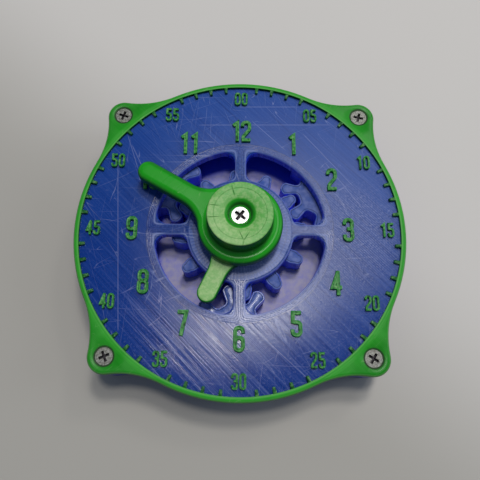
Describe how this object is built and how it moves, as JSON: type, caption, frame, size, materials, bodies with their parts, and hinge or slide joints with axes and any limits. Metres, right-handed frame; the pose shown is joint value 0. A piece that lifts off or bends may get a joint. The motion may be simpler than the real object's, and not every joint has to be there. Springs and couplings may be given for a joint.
{
  "type": "teaching clock",
  "caption": "Hand-turned teaching clock with a printed dial, hour and minute hands driven by a central knob, and planetary gears seen through windows in the dial.",
  "frame": {"origin": "centre of the flat back, on the axis of the hands", "axes": "+Z out of the dial, +Y towards twelve, +X towards three"},
  "size_m": [0.15, 0.15, 0.0473],
  "materials": {
    "green_print": "printed layers, glossy",
    "blue_print": "printed layers, glossy, fine scratches on the face",
    "steel": "zinc plated"
  },
  "bodies": {
    "case": {"back_housing": "blue_print", "rim_frame": "green_print", "dial_plate": "blue_print", "minute_ticks": "green_print", "hour_numerals": "green_print", "minute_numerals": "green_print", "fixed_gear": "blue_print", "corner_screws": "steel", "corner_nuts": "steel"},
    "minute": {"carrier_disc": "blue_print", "minute_shaft": "blue_print", "carrier_screw": "steel", "minute_hand": "green_print", "knob_screw": "steel"},
    "hour": {"hour_gear": "blue_print", "hour_hand": "green_print"},
    "planet_a": {"lower_planet_gear_a": "blue_print", "upper_planet_gear_a": "blue_print", "planet_screw_a": "steel"},
    "planet_b": {"lower_planet_gear_b": "blue_print", "upper_planet_gear_b": "blue_print", "planet_screw_b": "steel"},
    "planet_c": {"lower_planet_gear_c": "blue_print", "upper_planet_gear_c": "blue_print", "planet_screw_c": "steel"}
  },
  "joints": [
    {"name": "minute_turn", "type": "hinge", "parent": "case", "child": "minute", "pos_m": [0, 0, 0], "axis": [0, 0, -1], "continuous": true},
    {"name": "hour_turn", "type": "hinge", "parent": "case", "child": "hour", "pos_m": [0, 0, 0], "axis": [0, 0, -1], "continuous": true},
    {"name": "planet_a_turn", "type": "hinge", "parent": "minute", "child": "planet_a", "pos_m": [0.03885, 0.02066, 0], "axis": [0, 0, -1], "continuous": true},
    {"name": "planet_b_turn", "type": "hinge", "parent": "minute", "child": "planet_b", "pos_m": [-0.00154, -0.04397, 0], "axis": [0, 0, -1], "continuous": true},
    {"name": "planet_c_turn", "type": "hinge", "parent": "minute", "child": "planet_c", "pos_m": [-0.03731, 0.02332, 0], "axis": [0, 0, -1], "continuous": true}
  ],
  "couplings": [
    {"joint": "hour_turn", "follows": "minute_turn", "ratio": 0.083333},
    {"joint": "planet_a_turn", "follows": "minute_turn", "ratio": 1.375},
    {"joint": "planet_b_turn", "follows": "minute_turn", "ratio": 1.375},
    {"joint": "planet_c_turn", "follows": "minute_turn", "ratio": 1.375}
  ]
}
